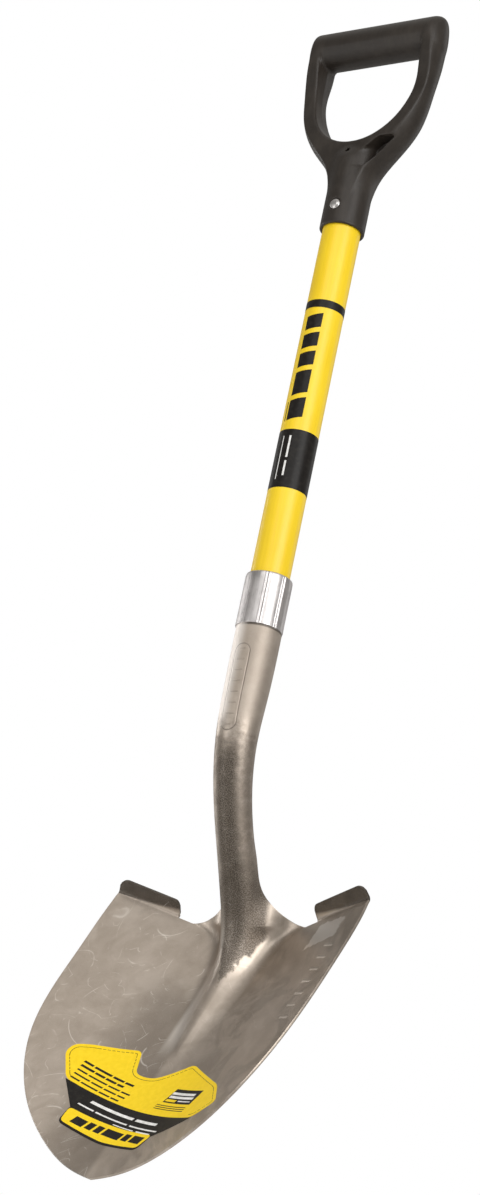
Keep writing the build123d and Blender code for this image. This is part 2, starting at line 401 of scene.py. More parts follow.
def make_blade(material):
    verts, faces, flat = mirrored(*blade_front())
    obj = add_mesh("blade_sheet", verts, faces, material)
    flow = obj.data.attributes.new("flow", "FLOAT_VECTOR", "POINT")
    flow.data.foreach_set("vector", np.column_stack([flat, np.zeros(len(flat))]).ravel())
    welded(obj, 0.02 * MM)
    face_front(obj)
    solid = obj.modifiers.new("sheet", "SOLIDIFY")
    solid.thickness = SHEET * MM
    solid.offset = -1
    soften = obj.modifiers.new("edge", "BEVEL")
    soften.width = 0.45 * MM
    soften.segments = 2
    soften.limit_method = "ANGLE"
    soften.angle_limit = math.radians(50)
    apply_modifiers(obj)
    return obj


# ---- D-grip
BAR_R = 16.4
GRIP_BOTTOM = -163.8
GRIP_SOCKET_R = 18.8
SOCKET_DOME_Z = -104.0
SHAFT_TOP = -116.0
OPENING_HALF, OPENING_TOP, OPENING_BOTTOM, OPENING_POWER = 49.3, -20.0, -84.4, 2.1
OPENING_STEPS = 50
FLANK_LOW = -146
VENT_Z, VENT_R = -93.9, 2.0
RIVET_Z, RIVET_SEAT, RECESS_R = -146.1, 17.2, 5.2
VOXEL = 0.7


def smooth_max(a, b, k):
    h = np.clip(0.5 + 0.5 * (a - b) / k, 0, 1)
    return b * (1 - h) + a * h + k * h * (1 - h)


def smooth_min(a, b, k):
    return -smooth_max(-a, -b, k)


def outline_distance(px, pz, line, inside):
    """Signed distance in the front view from points to an outline, negative where inside is true."""
    best = np.full(px.shape, 1e9)
    for (x0, z0), (x1, z1) in zip(line[:-1], line[1:]):
        dx, dz = x1 - x0, z1 - z0
        t = np.clip(((px - x0) * dx + (pz - z0) * dz) / (dx * dx + dz * dz + 1e-12), 0, 1)
        best = np.minimum(best, np.hypot(px - x0 - t * dx, pz - z0 - t * dz))
    return np.where(inside, -best, best)


def grip_field(x, y, z):
    """Signed field of the moulding on open grids x, y, z: negative inside."""
    ax = np.abs(x)
    outer_x = curve_through([-146, -136, -127, -118, -108, -98, -86, -72, -56, -36, -12, 16, 36],
                            [7.5, 11.0, 14.2, 17.6, 22.6, 30.6, 41.2, 50.8, 57.0, 60.9, 63.4, 63.8, 61.5])
    depth = curve_through([-165, -125, -105, -85, -65, -50, -36, -18, -1, 16, 36],
                          [11, 14, 15.6, 14.6, 12.4, 10.6, 9.4, 11.2, 14.6, 16.4, 16.4])
    heights = np.linspace(FLANK_LOW, 34, 120)
    flank = np.stack([outer_x(heights), heights], axis=1)
    turn = np.linspace(0, math.pi / 2, OPENING_STEPS)
    bowl_x = OPENING_HALF * np.sin(turn) ** (2 / OPENING_POWER)
    bowl_z = OPENING_TOP - (OPENING_TOP - OPENING_BOTTOM) * np.cos(turn) ** (2 / OPENING_POWER)
    hollow = np.concatenate([np.stack([bowl_x, bowl_z], axis=1), [[OPENING_HALF + 0.6, 12.0], [0, 12.0]]])
    px, pz = ax[:, 0, :], z[0] * np.ones_like(ax[:, 0, :])
    to_outer = outline_distance(px, pz, flank, (px < outer_x(pz)) & (pz > FLANK_LOW))
    reach = np.interp(pz, bowl_z, bowl_x)
    in_opening = (px < reach) & (pz > OPENING_BOTTOM) & (pz < 12)
    to_opening = -outline_distance(px, pz, hollow, in_opening)
    to_outer, to_opening = to_outer[:, None, :], to_opening[:, None, :]
    widest_y = -2.0 * ease(z, -80, -30)
    bulge = to_outer + 2.9 * ((y - widest_y) / 11) ** 2 * (0.4 + 0.6 * ease(z, -120, -70))
    fork = smooth_max(bulge, np.abs(y) - depth(z), 1.0)
    fork = smooth_max(fork, to_opening + 0.12 * np.abs(y) * ease(z, -90, -60) - 1.0, 2.0)
    fork = smooth_max(fork, np.sqrt(y**2 + np.clip(z - BAR_R, 0, None) ** 2) - BAR_R, 5.0)
    bar = smooth_max(np.hypot(y, z - BAR_R) - BAR_R, bulge, 7.0)
    body = smooth_min(fork, bar, 3.0)
    tube = np.sqrt(x**2 + y**2 + np.clip(z - SOCKET_DOME_Z, 0, None) ** 2) - GRIP_SOCKET_R
    body = smooth_min(body, tube, 3.5)
    pocket = smooth_max(0.759 * (ax - 17) - 0.651 * (z + 110), -0.66 * (ax - 22) + 0.75 * (z + 86), 1.5)
    pocket = smooth_max(pocket, GRIP_SOCKET_R + 0.3 - np.hypot(x, y), 2.0)
    pocket = smooth_max(pocket, 0.5 + y * np.sign(x), 1.5)
    pocket = smooth_max(pocket, np.abs(z + 96.5) - 14.0, 2.0)
    body = smooth_max(body, -pocket, 1.2)
    body = smooth_max(body, GRIP_BOTTOM - z, 1.2)
    bore = np.maximum(np.hypot(x, y) - SHAFT_R - 0.05, z - SHAFT_TOP)
    body = smooth_max(body, -bore, 0.6)
    vent = np.maximum(np.hypot(x, z - VENT_Z) - VENT_R, y + 8)
    recess = np.maximum(np.hypot(x, z - RIVET_Z) - RECESS_R, RIVET_SEAT - np.abs(y))
    return smooth_max(body, -np.minimum(vent, recess), 0.5)


def make_grip(material):
    import openvdb

    low, high = np.array([-67.0, -20.5, -166.0]), np.array([67.0, 20.5, 35.0])
    count = np.ceil((high - low) / VOXEL).astype(int) + 1
    x = (low[0] + VOXEL * np.arange(count[0]))[:, None, None]
    y = (low[1] + VOXEL * np.arange(count[1]))[None, :, None]
    z = (low[2] + VOXEL * np.arange(count[2]))[None, None, :]
    field = np.clip(grip_field(x, y, z), -3, 3).astype(np.float32)
    grid = openvdb.FloatGrid(3.0)
    grid.copyFromArray(np.ascontiguousarray(field))
    points, triangles, quads = grid.convertToPolygons(0.0, 0.0)
    verts = np.asarray(points) * VOXEL + low
    faces = [tuple(int(i) for i in face[::-1]) for face in list(triangles) + list(quads)]
    return add_mesh("grip_moulding", verts, faces, material)


# ---- turned and wrapped pieces
def lofted(name, rings, closed, material):
    """Surface through rings of points; closed joins the last ring to the first. Every ring is a loop."""
    count = len(rings[0])
    verts = np.concatenate(rings)
    faces = []
    last = len(rings) if closed else len(rings) - 1
    for j in range(last):
        k = (j + 1) % len(rings)
        for i in range(count):
            n = (i + 1) % count
            faces.append((j * count + i, j * count + n, k * count + n, k * count + i))
    return add_mesh(name, verts, faces, material)


def clean(obj, degrees=35):
    """Normals outwards, and edges sharper than degrees kept sharp."""
    bm = bmesh.new()
    bm.from_mesh(obj.data)
    bmesh.ops.recalc_face_normals(bm, faces=bm.faces)
    bm.to_mesh(obj.data)
    bm.free()
    sharpen(obj, degrees)


def sharpen(obj, degrees):
    obj.data.set_sharp_from_angle(angle=math.radians(degrees))


def joined(name, objects):
    """One object out of several, keeping their materials."""
    for obj in bpy.context.view_layer.objects:
        obj.select_set(False)
    for obj in objects:
        obj.select_set(True)
    bpy.context.view_layer.objects.active = objects[0]
    bpy.ops.object.join()
    objects[0].name = name
    return objects[0]


# ---- collar
COLLAR_TOP, COLLAR_BOTTOM = -475.1, -519.4
COLLAR_R, PANEL_DIP = 18.6, 0.22
CRIMPS, FIRST_CRIMP = 8, math.radians(-105)


def make_collar(material):
    """Sheet ferrule with eight narrow crimps, a rolled top rim and a slightly open lower edge."""
    angle = np.linspace(0, 2 * math.pi, 480, endpoint=False)
    pitch = 2 * math.pi / CRIMPS
    away = (np.mod(angle - FIRST_CRIMP + pitch / 2, pitch) - pitch / 2) * SOCKET_R
    crimp = 0.30 * np.exp(-((np.abs(away) - 1.15) / 0.45) ** 2) - 0.42 * np.exp(-((away / 0.55) ** 2))
    panel = -PANEL_DIP * np.cos(away / (SOCKET_R * pitch / 2) * math.pi / 2) ** 2
    outside = [
        (-0.9, COLLAR_BOTTOM + 0.15, 0.0), (-0.30, COLLAR_BOTTOM, 0.3), (0.05, COLLAR_BOTTOM + 0.25, 0.8),
        (0.12, COLLAR_BOTTOM + 1.2, 1.0), (0.0, COLLAR_BOTTOM + 6, 1.0), (0.0, -497, 1.0), (0.0, -482, 1.0),
        (0.02, COLLAR_TOP - 1.6, 0.9), (-0.10, COLLAR_TOP - 0.6, 0.5), (-0.5, COLLAR_TOP - 0.12, 0.2),
        (-1.1, COLLAR_TOP, 0.0), (-2.3, COLLAR_TOP - 0.1, 0.0), (-2.5, COLLAR_TOP - 0.7, 0.0),
        (-2.5, COLLAR_TOP - 1.1, 0.0), (-0.9, COLLAR_TOP - 1.3, 0.0),
    ]
    rings = []
    for offset, z, share in outside:
        radius = COLLAR_R + offset + share * (crimp + panel + PANEL_DIP)
        radius = np.clip(radius, SHAFT_R + 0.02 if z > COLLAR_TOP - 1.2 else SOCKET_R, None)
        ring = [radius * np.cos(angle), radius * np.sin(angle), np.full_like(angle, z)]
        rings.append(np.stack(ring, axis=1))
    obj = lofted("collar_ring", rings, True, material)
    clean(obj, 50)
    return obj


# ---- rivet
def make_rivet(material):
    """Domed head in front, flattened tail behind, on one shank."""
    turn = np.linspace(0, 2 * math.pi, 64, endpoint=False)

    def turned(name, profile):
        rings = [np.stack([r * np.cos(turn), np.full_like(turn, y), RIVET_Z + r * np.sin(turn)], axis=1)
                 for r, y in profile]
        return lofted(name, rings, False, material)

    def dome(radius, y, rise, count):
        return [(radius * math.cos(t), y + rise * math.sin(t))
                for t in np.linspace(0, math.pi / 2 - 0.02, count)]

    head = [(0.05, -17.15), (4.55, -17.15), (4.7, -17.25)] + dome(4.7, -17.35, -1.75, 14)
    tail = [(0.05, 17.15), (3.5, 17.15), (3.6, 17.3)] + dome(3.6, 17.4, 1.1, 10)
    shank = [(0.05, -17.2), (2.55, -17.2), (2.55, 17.2), (0.05, 17.2)]
    rivet = joined("rivet_body", [turned("head", head), turned("tail", tail), turned("shank", shank)])
    clean(rivet, 40)
    return rivet


# ---- print on the shaft
PRINT_R, UNDER_R = SHAFT_R + 0.12, SHAFT_R - 0.02
BAND_LOW, BAND_HIGH = -402.1, -351.1
RING_LOW, RING_HIGH = -241.1, -234.1


def on_shaft(angle, z, radius):
    """Angle is measured from the front, positive towards +X."""
    return np.stack([radius * np.sin(angle), -radius * np.cos(angle), z * np.ones_like(angle)], axis=-1)


def shaft_hoop(name, low, high, material):
    angle = np.linspace(0, 2 * math.pi, 160, endpoint=False)
    profile = [(UNDER_R, low), (PRINT_R, low), (PRINT_R, high), (UNDER_R, high)]
    obj = lofted(name, [on_shaft(angle, z, r) for r, z in profile], True, material)
    clean(obj)
    return obj


def shaft_patch(name, angle_low, angle_high, low, high, slant, radius, material):
    """Parallelogram printed on the shaft; slant is how far its right side is lifted, in mm."""
    share = np.linspace(0, 1, 14)
    angle = math.radians(angle_low) + share * math.radians(angle_high - angle_low)
    lift = slant * share
    corners = (radius, low), (radius, high), (UNDER_R, high), (UNDER_R, low)
    grid = np.stack([on_shaft(angle, z + lift, r) for r, z in corners])
    count = len(share)
    faces = []
    for j in range(4):
        k = (j + 1) % 4
        faces += [(j * count + i, j * count + i + 1, k * count + i + 1, k * count + i)
                  for i in range(count - 1)]
    faces.append(tuple(j * count for j in range(4)))
    faces.append(tuple(j * count + count - 1 for j in reversed(range(4))))
    obj = add_mesh(name, grid.reshape(-1, 3), faces, material)
    clean(obj)
    return obj


def make_shaft_print(black, white):
    hoops = [shaft_hoop("band", BAND_LOW, BAND_HIGH, black), shaft_hoop("ring", RING_LOW, RING_HIGH, black)]
    bands = joined("shaft_bands", hoops)
    marks = []
    # generic mark: slanted bars of different lengths down the front left
    for low, length in ((-262, 12.5), (-279, 12.5), (-296, 12.5), (-321, 20.5), (-343, 17.5)):
        marks.append(shaft_patch("bar", -17, 33, low, low + length, 3.2, PRINT_R, black))
    marks.append(shaft_patch("line", -27, -24, -343, -326, 0, PRINT_R, black))
    bars = joined("shaft_bars", marks)
    lines = joined("band_lines", [
        shaft_patch("line", left, right, low, high, 0, PRINT_R + 0.05, white)
        for left, right, low, high in ((8, 14, -376, -357), (8, 14, -392, -379), (-13, -10, -395, -357))
    ])
    return bands, bars, lines


# ---- label on the blade
LABEL_LIFT = 0.12
PRINT_LIFT = LABEL_LIFT + 0.05  # of what is printed on the label
DRAPE_STEP = 3.0
LABEL_TURN = math.radians(-13)
LABEL_WAY = np.array([math.cos(LABEL_TURN), math.sin(LABEL_TURN)])
LABEL_UP = np.array([-math.sin(LABEL_TURN), math.cos(LABEL_TURN)])


def rounded(points, radius):
    """Closed outline with its corners rounded; radius is how far before the corner the curve starts."""
    points = np.asarray(points, float)
    out = []
    for i, corner in enumerate(points):
        before, after = points[i - 1] - corner, points[(i + 1) % len(points)] - corner
        a = corner + before / np.linalg.norm(before) * min(radius, np.linalg.norm(before) * 0.48)
        b = corner + after / np.linalg.norm(after) * min(radius, np.linalg.norm(after) * 0.48)
        out += [(1 - t) ** 2 * a + 2 * t * (1 - t) * corner + t * t * b for t in np.linspace(0, 1, 8)]
    return np.array(out)


def draped(name, outline, lift, thickness, material):
    """Flat outline in blade coordinates (x, u), cut into small faces and laid on the dished face."""
    bm = bmesh.new()
    loop = [bm.verts.new((float(x), float(u), 0)) for x, u in outline]
    face = bm.faces.new(loop)
    bmesh.ops.triangulate(bm, faces=[face])
    normals = Vector((1, 0, 0)), Vector((0, 1, 0))
    for normal, low, high in zip(normals, outline.min(axis=0), outline.max(axis=0)):
        for cut in np.arange(math.ceil(low / DRAPE_STEP) * DRAPE_STEP, high, DRAPE_STEP):
            bmesh.ops.bisect_plane(bm, geom=[*bm.verts, *bm.edges, *bm.faces], dist=1e-4,
                                   plane_co=normal * float(cut), plane_no=normal)
    for vert in bm.verts:
        x, u = vert.co.x, vert.co.y
        vert.co = Vector(on_blade(np.array(x), np.array(u), dish_height(x, u) + lift)) * MM
    mesh = bpy.data.meshes.new(name)
    bm.to_mesh(mesh)
    bm.free()
    mesh.materials.append(material)
    obj = bpy.data.objects.new(name, mesh)
    bpy.context.scene.collection.objects.link(obj)
    face_front(obj)
    mesh.polygons.foreach_set("use_smooth", [True] * len(mesh.polygons))
    solid = obj.modifiers.new("film", "SOLIDIFY")
    solid.thickness = thickness * MM
    solid.offset = -1
    apply_modifiers(obj)
    sharpen(obj, 50)
    return obj


def label_bar(start, length, height, slant=0.0):
    """Parallelogram along the label's writing direction."""
    start = np.asarray(start, float)
    lean = slant * LABEL_WAY
    return np.array([start, start + length * LABEL_WAY, start + length * LABEL_WAY + height * LABEL_UP + lean,
                     start + height * LABEL_UP + lean])


def inset(outline, distance):
    """Outline moved inwards by distance (counter-clockwise or clockwise alike)."""
    x, u = outline.T
    area = 0.5 * np.sum(x * np.roll(u, -1) - np.roll(x, -1) * u)
    way = np.roll(outline, -1, axis=0) - np.roll(outline, 1, axis=0)
    way /= np.linalg.norm(way, axis=1)[:, None] + 1e-9
    normal = np.stack([-way[:, 1], way[:, 0]], axis=1) * (1 if area > 0 else -1)
    return outline + distance * normal


LABEL_OUTLINE = rounded(
    [(-68.2, 84.6), (-80.5, 108), (-77.5, 117.5), (-66, 122.5), (-29, 130.5), (-22.5, 107.5),
     (-13, 104.8), (-3, 105.2), (24, 120.5), (66, 90), (78, 68.5), (59.2, 57.4)], 5.0)
BLACK_OUTLINE = rounded([(-68.2, 84.5), (59.2, 57.4), (28.5, 43.0), (-51.6, 60.5)], 0.6)
BADGE_CORNERS = np.array([(-52.6, 46.6), (-52.0, 60.6), (29.4, 44.4), (22.2, 31.6), (-12, 35.5)])


def stitched(outline, distance, material):
    """Dashed thin line inside the yellow part of the label."""
    border = inset(outline, distance)
    ring = [i for i in range(len(border)) if border[i][1] > 84.5 - 0.213 * (border[i][0] + 68.2) + 3.0]
    dashes = []
    for i, j in zip(ring[:-1], ring[1:]):
        a, b = border[i], border[j]
        length = np.linalg.norm(b - a)
        if j != i + 1 or length < 0.05:
            continue
        side = np.array([-(b - a)[1], (b - a)[0]]) / length * 0.19
        pieces = max(1, int(round(length / 3.4)))
        for n in range(pieces):
            p = a + (b - a) * n / pieces
            q = a + (b - a) * (n + (0.72 if length > 3 else 1)) / pieces
            corners = np.array([p - side, q - side, q + side, p + side])
            dashes.append(draped("border", corners, PRINT_LIFT, 0.1, material))
    return dashes


def make_label(yellow, black, white):
    """Yellow label with a black lower part, and plain bars where the real one has words."""
    def bar(start, length, height, slant, material, lift=PRINT_LIFT):
        return draped("bar", label_bar(start, length, height, slant), lift, 0.1, material)

    base = draped("label_base", LABEL_OUTLINE, LABEL_LIFT, 0.14, yellow)
    dark = [draped("panel", BLACK_OUTLINE, PRINT_LIFT, 0.19, black),
            draped("badge_edge", rounded(inset(BADGE_CORNERS, -2.2), 4.5), PRINT_LIFT + 0.02, 0.21, black)]
    dark += stitched(LABEL_OUTLINE, 3.0, black)
    for row, (length, height) in enumerate(((48, 2.0), (41, 2.0), (51, 1.4), (49, 1.4), (46, 1.4))):
        start = np.array([-64.0, 104.3]) + row * (-4.3) * LABEL_UP + row * 0.5 * LABEL_WAY
        at = 0.0
        for word in (0.30, 0.22, 0.24, 0.15) if row % 2 else (0.18, 0.34, 0.22, 0.17):
            dark.append(bar(start + at * length * LABEL_WAY, word * length, height, 0.4, black))
            at += word + 0.03
    dark.append(bar((17.5, 80.5), 31, 14.5, 3.2, black))
    for row in range(3):
        dark.append(bar((13.5, 77.8) - row * 1.9 * LABEL_UP, 33, 0.7, 0.0, black))
    start = np.array([-45.5, 47.8])
    for width in (11, 6, 6, 17, 6, 11):
        dark.append(bar(start, width, 7.2, 1.6, black, PRINT_LIFT + 0.08))
        start = start + (width + 2.2) * np.array([0.985, -0.172])
    badge = draped("badge", rounded(BADGE_CORNERS, 3.5), PRINT_LIFT + 0.05, 0.24, yellow)
    # rows of words on the black part and on the dark block: start, then (shift, length, height, slant)
    rows = [((-40.5, 69.8), ((0, 43, 2.5, 0.8), (46, 23, 2.5, 0.8))),
            ((-48.5, 65.6), ((0, 15, 1.3, 0.4), (17, 32, 1.3, 0.4), (52, 30, 1.3, 0.4))),
            ((-12.0, 53.6), ((0, 21, 0.9, 0.0), (24, 15, 1.2, 0.4))),
            ((21.8, 88.4), ((0, 26, 2.4, 0.5),)), ((20.8, 84.9), ((0, 27, 2.4, 0.5),)),
            ((32.5, 79.3), ((0, 14, 1.0, 0.0),))]
    light = [bar(start + shift * LABEL_WAY, length, height, slant, white, PRINT_LIFT + 0.05)
             for start, words in rows for shift, length, height, slant in words]
    tab = bar((19.0, 81.4), 11, 2.4, 0.8, yellow, PRINT_LIFT + 0.05)
    return (joined("label_yellow", [base, badge, tab]), joined("label_black", dark),
            joined("label_white", light))


# ---- looks
class Nodes:
    """A node tree of a material or a world, built node by node."""

    def __init__(self, tree):
        self.tree = tree

    def node(self, kind, inputs=None, **settings):
        """inputs holds values or sockets by input number or name."""
        made = self.tree.nodes.new(kind)
        for key, value in settings.items():
            setattr(made, key, value)
        for key, value in (inputs or {}).items():
            self.put(made.inputs[key], value)
        return made

    def put(self, socket, value):
        if isinstance(value, bpy.types.NodeSocket):
            self.tree.links.new(value, socket)
        else:
            socket.default_value = value

    def stretch(self, vector, scale):
        return self.node("ShaderNodeVectorMath", {0: vector, 1: scale}, operation="MULTIPLY").outputs[0]

    def split(self, vector):
        return self.node("ShaderNodeSeparateXYZ", {0: vector}).outputs

    def math(self, operation, *values):
        return self.node("ShaderNodeMath", dict(enumerate(values)), operation=operation).outputs[0]

    def less(self, value, other):
        return self.math("SUBTRACT", value, other)

    def size(self, value):
        return self.math("ABSOLUTE", value)

    def total(self, *values):
        out = values[0]
        for value in values[1:]:
            out = self.math("ADD", out, value)
        return out

    def times(self, *values):
        out = values[0]
        for value in values[1:]:
            out = self.math("MULTIPLY", out, value)
        return out

    def span(self, value, low, high, start=0.0, end=1.0):
        """start below low, end above high, smooth between."""
        inputs = dict(enumerate((value, low, high, start, end)))
        return self.node("ShaderNodeMapRange", inputs, interpolation_type="SMOOTHSTEP").outputs[0]

    def fade(self, value, low, high):
        """1 below low, 0 above high, smooth between."""
        return self.span(value, low, high, 1.0, 0.0)

    def noise(self, vector, scale, detail=3.0, roughness=0.5, distortion=0.0, output="Fac"):
        inputs = {"Vector": vector, "Scale": scale, "Detail": detail, "Roughness": roughness,
                  "Distortion": distortion}
        return self.node("ShaderNodeTexNoise", inputs).outputs[output]

    def warped(self, vector, scale, amount):
        """vector pushed about by a noise, for lines that wander."""
        push = self.stretch(self.noise(vector, scale, 2.0, output="Color"), (amount, amount, amount))
        return self.node("ShaderNodeVectorMath", {0: vector, 1: push}, operation="ADD").outputs[0]

    def arcs(self, vector, scale, pitch, width):
        """Thin curved lines, 1 on the line: rings round scattered points, pitch cells apart."""
        cells = self.node("ShaderNodeTexVoronoi", {"Vector": vector, "Scale": scale}, feature="F1")
        ring = self.math("FRACT", self.math("DIVIDE", cells.outputs["Distance"], pitch))
        return self.fade(self.size(self.less(ring, 0.5)), 0.0, width)

    def colour(self, share, *stops):
        made = self.node("ShaderNodeValToRGB", {0: share})
        ramp = made.color_ramp
        while len(ramp.elements) < len(stops):
            ramp.elements.new(0.5)
        for element, (position, rgb) in zip(ramp.elements, stops):
            element.position = position
            element.color = (*rgb, 1)
        return made.outputs[0]

    def mixed(self, share, first, second):
        """first where share is 0, the plain colour second where it is 1."""
        return self.node("ShaderNodeMix", {"Factor": share, 6: first, 7: (*second, 1)},
                         data_type="RGBA").outputs[2]


class Look(Nodes):
    """A procedural material. x, y and z are in millimetres, place in metres."""

    def __init__(self, name, **constants):
        self.material = bpy.data.materials.new(name)
        self.material.use_nodes = True
        super().__init__(self.material.node_tree)
        self.shader = self.tree.nodes["Principled BSDF"]
        for key, value in constants.items():
            self.shader.inputs[key.replace("_", " ")].default_value = value
        self.place = self.node("ShaderNodeTexCoord").outputs["Object"]
        self.x, self.y, self.z = self.split(self.stretch(self.place, (1000, 1000, 1000)))

    def flow(self):
        """Millimetres across and along the blade's sheet."""
        return self.node("ShaderNodeAttribute", attribute_name="flow").outputs["Vector"]

    def finish(self, colour=None, roughness=None, height=None, depth=0.0001, strength=1.0):
        if colour is not None:
            self.put(self.shader.inputs["Base Color"], colour)
        if roughness is not None:
            self.put(self.shader.inputs["Roughness"], roughness)
        if height is not None:
            bump = self.node("ShaderNodeBump", {"Strength": strength, "Distance": depth, "Height": height})
            self.put(self.shader.inputs["Normal"], bump.outputs[0])
        return self.material


def socket_mark(look, flow):
    """Height of a plain long slot with cross ticks, pressed into the front of the socket."""
    across, along, _ = look.split(flow)
    across = look.less(across, 1.0)
    along = look.less(along, 96.0)
    beyond = look.math("MAXIMUM", look.less(look.size(along), 29.0), 0.0)
    edge = look.math("SQRT", look.total(look.times(across, across), look.times(beyond, beyond)))
    edge = look.less(edge, 6.6)
    groove = look.fade(look.size(edge), 0.15, 0.8)
    raised = look.fade(edge, -0.6, 0.6)
    tick = look.less(look.math("FRACT", look.math("DIVIDE", along, 9.0)), 0.5)
    tick = look.times(look.fade(look.size(tick), 0.03, 0.09), look.fade(edge, -3.2, -2.8))
    return look.less(look.times(raised, 0.5), look.math("MAXIMUM", groove, tick))


def steel_look():
    look = Look("blade_steel_look", Metallic=0.9, Coat_Weight=0.10, Coat_Roughness=0.2)
    span, fade, times, total, less, size, noise = (
        look.span, look.fade, look.times, look.total, look.less, look.size, look.noise)
    x, y, z, flow = look.x, look.y, look.z, look.flow()
    up_blade = total(times(y, math.sin(BLADE_LEAN)), times(z, math.cos(BLADE_LEAN)), POINT_RISE)
    broad = noise(flow, 0.012, 3.0, 0.55, 0.6)
    cloudy = noise(flow, 0.06, 5.0, 0.6, 0.4)
    grain = noise(flow, 0.9, 3.0, 0.6)
    speckle = noise(flow, 2.6, 2.0, 0.7)
    # hairline scratches in three sizes, only in patches
    lines = total(
        times(look.arcs(flow, 0.011, 0.16, 0.016), span(noise(flow, 0.045, 3.0, 0.6), 0.48, 0.62)),
        times(look.arcs(look.warped(flow, 0.02, 24.0), 0.019, 0.21, 0.022),
              span(noise(flow, 0.060, 3.0, 0.6, 0.5), 0.48, 0.60), 0.9),
        times(look.arcs(look.warped(flow, 0.05, 12.0), 0.034, 0.30, 0.030),
              span(noise(flow, 0.085, 3.0, 0.6, 0.8), 0.50, 0.60), 0.8))
    # most of them on the dish's left half
    lines = times(lines, span(z, -705, -760), total(times(span(x, 8, -12), 0.65), 0.35))
    # dark mill scale on the neck and in the corners beside the frog
    wobble = times(less(noise(flow, 0.035, 5.0, 0.7), 0.5), 90.0)
    height = total(z, wobble)
    neck = times(span(height, -596, -622), span(height, -738, -700))
    neck = times(neck, span(noise(flow, 0.10, 6.0, 0.75), 0.30, 0.60, 0.45, 1.0))
    across = look.split(flow)[0]
    gritty = span(noise(flow, 1.1, 3.0, 0.7), 0.40, 0.58, 0.45, 1.0)
    streak = size(total(across, -3.0, times(wobble, 0.05)))
    streak = times(fade(streak, 4.0, 14.0), span(height, -606, -640), span(height, -770, -730), gritty)
    base = look.colour(total(times(cloudy, 0.55), times(broad, 0.45)), (0.30, (0.385, 0.325, 0.268)),
                       (0.48, (0.465, 0.398, 0.334)), (0.62, (0.545, 0.474, 0.405)))
    # painted shade: the right wing darkened in noisy patches
    right_wing = times(span(x, 6, 34), span(z, -700, -745))
    right_wing_painted_shade = times(right_wing, span(noise(flow, 0.02, 4.0, 0.6, 1.2), 0.44, 0.56))
    shaded = times(span(x, -70, -36), span(x, -2, -8), span(up_blade, 222, 176))
    # rough patch on the frog, pointing down the blade
    ragged = times(wobble, 0.22)
    vee = less(size(less(x, 3.0)), times(less(up_blade, 204.0), 0.36))
    frog = times(fade(total(vee, ragged), -1.2, 1.2), span(z, -690, -720), fade(size(x), 19, 23))
    # painted shadow and grime: a dark line under the collar's lower edge
    gap = fade(size(less(z, COLLAR_BOTTOM - 0.6)), 0.5, 1.2)
    # painted highlight on the frog's left side
    side = times(span(x, -19, -14), span(x, -3, -8), span(up_blade, 120, 160),
                 span(up_blade, 262, 236))
    # undersides of the treads, tinted dark
    tread = times(span(up_blade, 266.9, 268.2), span(size(x), 60, 62))
    # painted reflection: a bright patch below the right tread
    right_wing_painted_reflection = look.math("MAXIMUM", times(size(less(x, 84)), 0.8), size(less(up_blade, 247)))
    right_wing_painted_reflection = fade(total(right_wing_painted_reflection, times(wobble, 0.22)), 10.6, 12.4)
    # a row of plain short ribs down the right wing
    rung = look.math("FRACT", look.math("DIVIDE", total(up_blade, times(x, 0.4)), 13.0))
    rung = fade(size(less(rung, 0.5)), 0.07, 0.12)
    ribs = times(rung, fade(size(less(x, 97)), 5.0, 5.8), fade(size(less(up_blade, 188)), 46, 48))
    socket = span(z, -612, -588)
    pressed = socket_mark(look, flow)
    # tints laid over the base in this order: where, how strong, colour
    for share, strength, rgb in (
        (right_wing_painted_shade, 0.26, (0.110, 0.090, 0.070)),
        (neck, 0.56, (0.120, 0.098, 0.078)),
        (streak, 0.88, (0.050, 0.040, 0.030)),
        (shaded, 0.46, (0.130, 0.108, 0.086)),
        (times(frog, gritty), 0.90, (0.085, 0.070, 0.055)),
        (gap, 0.8, (0.045, 0.038, 0.031)),
        (side, 0.6, (0.88, 0.82, 0.75)),
        (tread, 0.88, (0.052, 0.042, 0.033)),
        (right_wing_painted_reflection, 0.8, (0.90, 0.84, 0.77)),
        (ribs, 0.45, (0.80, 0.74, 0.67)),
        (lines, 0.60, (0.86, 0.80, 0.73)),
        (span(speckle, 0.58, 0.70), 0.38, (0.74, 0.68, 0.61)),
        # painted light and shade on the socket: its left side lighter, its right side darker
        (times(socket, span(x, 3, -6)), 1.0, (0.98, 0.92, 0.86)),
        (times(socket, span(x, 2, 10)), 0.25, (0.30, 0.262, 0.225)),
        # painted shade in the pressed grooves and ticks
        (span(times(pressed, -1.0), 0.3, 1.0), 0.62, (0.10, 0.09, 0.08)),
    ):
        base = look.mixed(times(share, strength), base, rgb)
    rough = total(0.27, times(cloudy, 0.14), times(grain, 0.08), times(neck, 0.20), times(frog, 0.16),
                  times(socket, 0.20), times(right_wing_painted_reflection, -0.04))
    bump = total(times(grain, 0.30), times(speckle, 0.14), times(cloudy, 0.8), times(neck, speckle, 1.2),
                 times(lines, -0.25))
    height_map = total(times(bump, 0.10), times(pressed, 0.55), times(ribs, 0.5))
    return look.finish(base, rough, height_map, 0.0006)


def bright_look(name, base, roughness):
    """Plated or turned metal with drawn lines and a few dull spots."""
    look = Look(name, Metallic=1.0)
    drawn = look.noise(look.stretch(look.place, (900, 900, 60)), 1.0, 4.0, 0.6)
    dull = look.noise(look.place, 90, 4.0, 0.65)
    stain = look.span(look.noise(look.place, 160, 3.0, 0.6, 0.8), 0.60, 0.72)
    share = look.total(look.times(drawn, 0.5), look.times(dull, 0.5))
    darker = tuple(0.72 * c for c in base)
    lighter = tuple(min(1.0, 1.12 * c) for c in base)
    colour = look.colour(share, (0.35, darker), (0.50, base), (0.66, lighter))
    colour = look.mixed(look.times(stain, 0.35), colour, tuple(0.45 * c for c in base))
    rough = look.total(roughness - 0.05, look.times(dull, 0.16), look.times(stain, 0.1))
    return look.finish(colour, rough, look.total(look.times(drawn, 0.7), look.times(dull, 0.5)), 0.000007)


